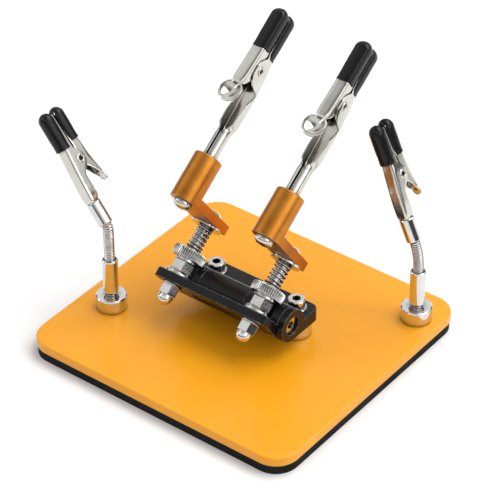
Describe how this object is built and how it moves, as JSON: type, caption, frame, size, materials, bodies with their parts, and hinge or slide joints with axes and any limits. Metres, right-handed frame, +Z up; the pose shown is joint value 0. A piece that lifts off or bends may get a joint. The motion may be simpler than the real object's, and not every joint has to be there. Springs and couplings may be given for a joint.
{
  "type": "helping hands clamp",
  "caption": "Heavy square base with a tilting magnetic clamp that carries sprung crank arms and swivelling clips, and small flexible gooseneck clip arms on magnetic feet.",
  "frame": {"origin": "middle of the underside of the base pad, on the surface it stands on", "axes": "+Z up, +X along the front edge to the right, +Y away from the user"},
  "size_m": [0.1839, 0.1563, 0.1464],
  "materials": {
    "orange_powder_coat": "satin powder coat",
    "black_rubber": "matte foam rubber",
    "black_anodised": "satin black anodised",
    "copper_anodised": "satin copper-gold anodised",
    "chrome_plate": "polished chrome",
    "polished_steel": "bright zinc and nickel",
    "spring_steel": "bright wire",
    "neck_steel": "ribbed bright steel",
    "clip_nickel": "nickel plated sheet steel",
    "magnet_nickel": "nickel plated magnet",
    "boot_black": "soft satin rubber"
  },
  "bodies": {
    "base": {"base_plate": "orange_powder_coat", "base_pad": "black_rubber"},
    "clamp_base": {"clamp_foot_cups": "chrome_plate", "clamp_foot_magnets": "magnet_nickel", "hinge_base": "black_anodised", "foot_screws": "polished_steel", "foot_washers": "polished_steel", "hinge_bolt": "polished_steel", "hinge_nut": "polished_steel"},
    "tilt_head": {"tilt_leaf": "black_anodised", "leaf_washers": "polished_steel", "acorn_nuts": "chrome_plate", "flange_nuts": "polished_steel", "pivot_bolts": "polished_steel", "left_tension_spring": "spring_steel", "right_tension_spring": "spring_steel"},
    "left_seat": {"left_spring_seat": "polished_steel"},
    "left_nut": {"left_knurled_nut": "polished_steel"},
    "left_crank": {"left_crank_arm": "copper_anodised", "left_crank_washer": "polished_steel"},
    "left_clip_body": {"left_clip_lower_jaw": "clip_nickel", "left_clip_rivet": "clip_nickel", "left_clip_jaw_spring": "spring_steel", "left_clip_lower_boot": "boot_black", "left_swivel_screw": "polished_steel"},
    "left_clip_jaw": {"left_clip_upper_jaw": "clip_nickel", "left_clip_upper_boot": "boot_black"},
    "right_seat": {"right_spring_seat": "polished_steel"},
    "right_nut": {"right_knurled_nut": "polished_steel"},
    "right_crank": {"right_crank_arm": "copper_anodised", "right_crank_washer": "polished_steel"},
    "right_clip_body": {"right_clip_lower_jaw": "clip_nickel", "right_clip_rivet": "clip_nickel", "right_clip_jaw_spring": "spring_steel", "right_clip_lower_boot": "boot_black", "right_swivel_screw": "polished_steel"},
    "right_clip_jaw": {"right_clip_upper_jaw": "clip_nickel", "right_clip_upper_boot": "boot_black"},
    "left_arm_foot": {"left_arm_magnet_cup": "chrome_plate", "left_arm_magnet": "magnet_nickel"},
    "left_arm_stem": {"left_arm_post": "chrome_plate", "left_arm_gooseneck": "neck_steel"},
    "left_arm_head": {"left_arm_ferrule": "chrome_plate", "left_arm_clip_lower_jaw": "clip_nickel", "left_arm_clip_rivet": "clip_nickel", "left_arm_clip_jaw_spring": "spring_steel", "left_arm_clip_lower_boot": "boot_black"},
    "left_arm_jaw": {"left_arm_clip_upper_jaw": "clip_nickel", "left_arm_clip_upper_boot": "boot_black"},
    "right_arm_foot": {"right_arm_magnet_cup": "chrome_plate", "right_arm_magnet": "magnet_nickel"},
    "right_arm_stem": {"right_arm_post": "chrome_plate", "right_arm_gooseneck": "neck_steel"},
    "right_arm_head": {"right_arm_ferrule": "chrome_plate", "right_arm_clip_lower_jaw": "clip_nickel", "right_arm_clip_rivet": "clip_nickel", "right_arm_clip_jaw_spring": "spring_steel", "right_arm_clip_lower_boot": "boot_black"},
    "right_arm_jaw": {"right_arm_clip_upper_jaw": "clip_nickel", "right_arm_clip_upper_boot": "boot_black"}
  },
  "joints": [
    {"name": "clamp_slide", "type": "slide", "parent": "base", "child": "clamp_base", "axis": [0, 1, 0], "range_m": [-0.03, 0.03]},
    {"name": "head_tilt", "type": "hinge", "parent": "clamp_base", "child": "tilt_head", "pos_m": [0, -0.0054, 0.0268], "axis": [1, 0, 0], "range_deg": [-11, 34]},
    {"name": "left_seat_slide", "type": "slide", "parent": "tilt_head", "child": "left_seat", "axis": [0, 0.8141, 0.5807], "range_m": [0, 0.005], "deforming": ["left_tension_spring"]},
    {"name": "left_nut_spin", "type": "hinge", "parent": "left_seat", "child": "left_nut", "pos_m": [-0.031, -0.00723, 0.03901], "axis": [0, 0.8141, 0.5807], "range_deg": [0, 1800]},
    {"name": "left_crank_swing", "type": "hinge", "parent": "tilt_head", "child": "left_crank", "pos_m": [-0.031, 0.00954, 0.05097], "axis": [0, 0.8141, 0.5807], "range_deg": [-60, 60]},
    {"name": "left_clip_turn", "type": "hinge", "parent": "left_crank", "child": "left_clip_body", "pos_m": [-0.03227, 0.0134, 0.08931], "axis": [0, 0.8141, 0.5807], "continuous": true},
    {"name": "left_jaw_open", "type": "hinge", "parent": "left_clip_body", "child": "left_clip_jaw", "pos_m": [-0.0325, 0.05026, 0.12235], "axis": [0.999, -0.0253, 0.0355], "range_deg": [0, 25], "stiffness_Nm_per_rad": 0.05, "springref_deg": -34.38, "deforming": ["left_clip_jaw_spring"]},
    {"name": "right_seat_slide", "type": "slide", "parent": "tilt_head", "child": "right_seat", "axis": [0, 0.8141, 0.5807], "range_m": [0, 0.005], "deforming": ["right_tension_spring"]},
    {"name": "right_nut_spin", "type": "hinge", "parent": "right_seat", "child": "right_nut", "pos_m": [0.0184, -0.00723, 0.03901], "axis": [0, 0.8141, 0.5807], "range_deg": [0, 1800]},
    {"name": "right_crank_swing", "type": "hinge", "parent": "tilt_head", "child": "right_crank", "pos_m": [0.0184, 0.00954, 0.05097], "axis": [0, 0.8141, 0.5807], "range_deg": [-60, 20]},
    {"name": "right_clip_turn", "type": "hinge", "parent": "right_crank", "child": "right_clip_body", "pos_m": [0.0184, 0.01338, 0.08933], "axis": [0, 0.8141, 0.5807], "continuous": true},
    {"name": "right_jaw_open", "type": "hinge", "parent": "right_clip_body", "child": "right_clip_jaw", "pos_m": [0.0184, 0.05024, 0.12238], "axis": [1, 0, 0], "range_deg": [0, 25], "stiffness_Nm_per_rad": 0.05, "springref_deg": -34.38, "deforming": ["right_clip_jaw_spring"]},
    {"name": "left_foot_slide", "type": "slide", "parent": "base", "child": "left_arm_foot", "axis": [0, 1, 0], "range_m": [-0.035, 0.06]},
    {"name": "left_stem_turn", "type": "hinge", "parent": "left_arm_foot", "child": "left_arm_stem", "pos_m": [-0.0615, -0.0308, 0.015], "axis": [0, 0, 1], "continuous": true},
    {"name": "left_neck_bend", "type": "hinge", "parent": "left_arm_stem", "child": "left_arm_head", "pos_m": [-0.0615, -0.0308, 0.051], "axis": [0, 1, 0], "range_deg": [-35, 60], "deforming": ["left_arm_gooseneck"]},
    {"name": "left_arm_jaw_open", "type": "hinge", "parent": "left_arm_head", "child": "left_arm_jaw", "pos_m": [-0.08455, -0.0262, 0.08809], "axis": [-0.7771, 0, -0.6293], "range_deg": [0, 25], "stiffness_Nm_per_rad": 0.03, "springref_deg": -34.38, "deforming": ["left_arm_clip_jaw_spring"]},
    {"name": "right_foot_slide", "type": "slide", "parent": "base", "child": "right_arm_foot", "axis": [0, 1, 0], "range_m": [-0.06, 0.012]},
    {"name": "right_stem_turn", "type": "hinge", "parent": "right_arm_foot", "child": "right_arm_stem", "pos_m": [0.0669, 0.0547, 0.015], "axis": [0, 0, 1], "continuous": true},
    {"name": "right_neck_bend", "type": "hinge", "parent": "right_arm_stem", "child": "right_arm_head", "pos_m": [0.06605, 0.0547, 0.0498], "axis": [0, 1, 0], "range_deg": [-5, 60], "deforming": ["right_arm_gooseneck"]},
    {"name": "right_arm_jaw_open", "type": "hinge", "parent": "right_arm_head", "child": "right_arm_jaw", "pos_m": [0.04895, 0.0593, 0.08848], "axis": [-0.9063, 0, -0.4226], "range_deg": [0, 25], "stiffness_Nm_per_rad": 0.03, "springref_deg": -34.38, "deforming": ["right_arm_clip_jaw_spring"]}
  ],
  "couplings": [
    {"joint": "left_nut_spin", "follows": "left_seat_slide", "rad_per_m": 6283.2},
    {"joint": "right_nut_spin", "follows": "right_seat_slide", "rad_per_m": 6283.2}
  ]
}
